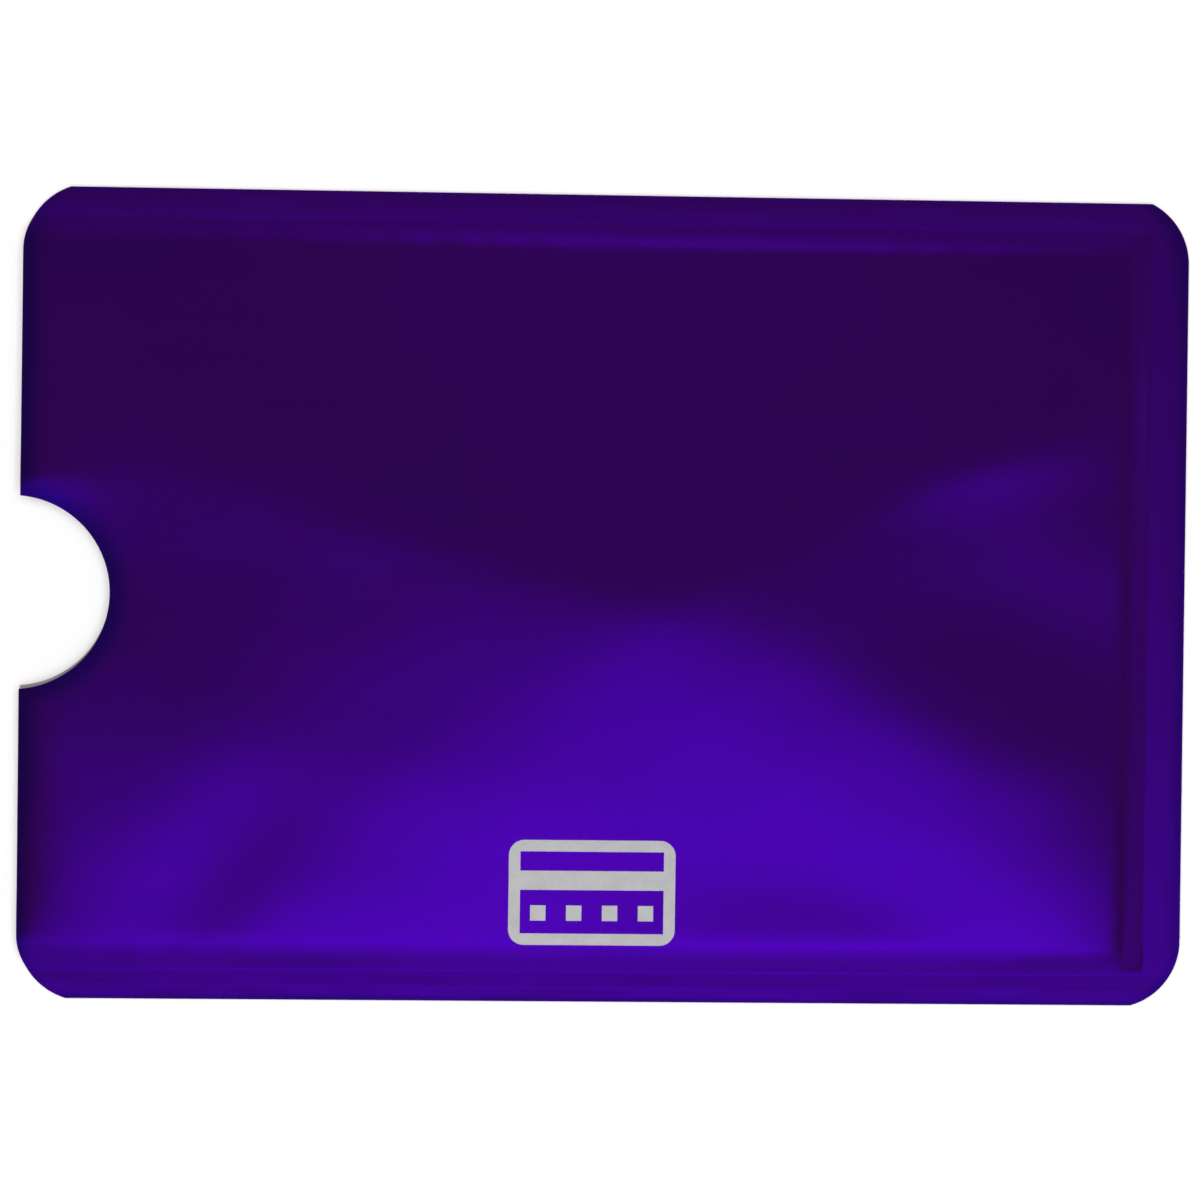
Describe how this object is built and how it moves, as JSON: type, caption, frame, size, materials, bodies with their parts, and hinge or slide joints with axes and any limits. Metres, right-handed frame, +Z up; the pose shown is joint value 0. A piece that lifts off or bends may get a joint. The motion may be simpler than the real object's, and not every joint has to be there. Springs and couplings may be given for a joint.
{
  "type": "rfid card sleeve",
  "caption": "Flat heat-sealed card sleeve of metallised film with a foil shield, an open end and a thumb notch.",
  "frame": {"origin": "middle of the underside, on the surface the sleeve lies on", "axes": "+X along the sleeve, from the open mouth to the sealed end; +Y across it, towards the upper side seal; +Z up, out of the printed front wall"},
  "size_m": [0.091, 0.063, 0.0018],
  "materials": {
    "film": "violet tinted film over a bright metal layer",
    "foil": "bright rolled foil",
    "lining": "milky heat-sealing film",
    "seal": "melted lining, pressed between ribbed jaws",
    "ink": "silver grey ink"
  },
  "bodies": {
    "root": {"front_film": "film", "front_foil": "foil", "front_lining": "lining", "upper_side_seal": "seal", "lower_side_seal": "seal", "end_seal": "seal", "back_lining": "lining", "back_foil": "foil", "back_film": "film", "printed_card_mark": "ink"}
  },
  "joints": []
}
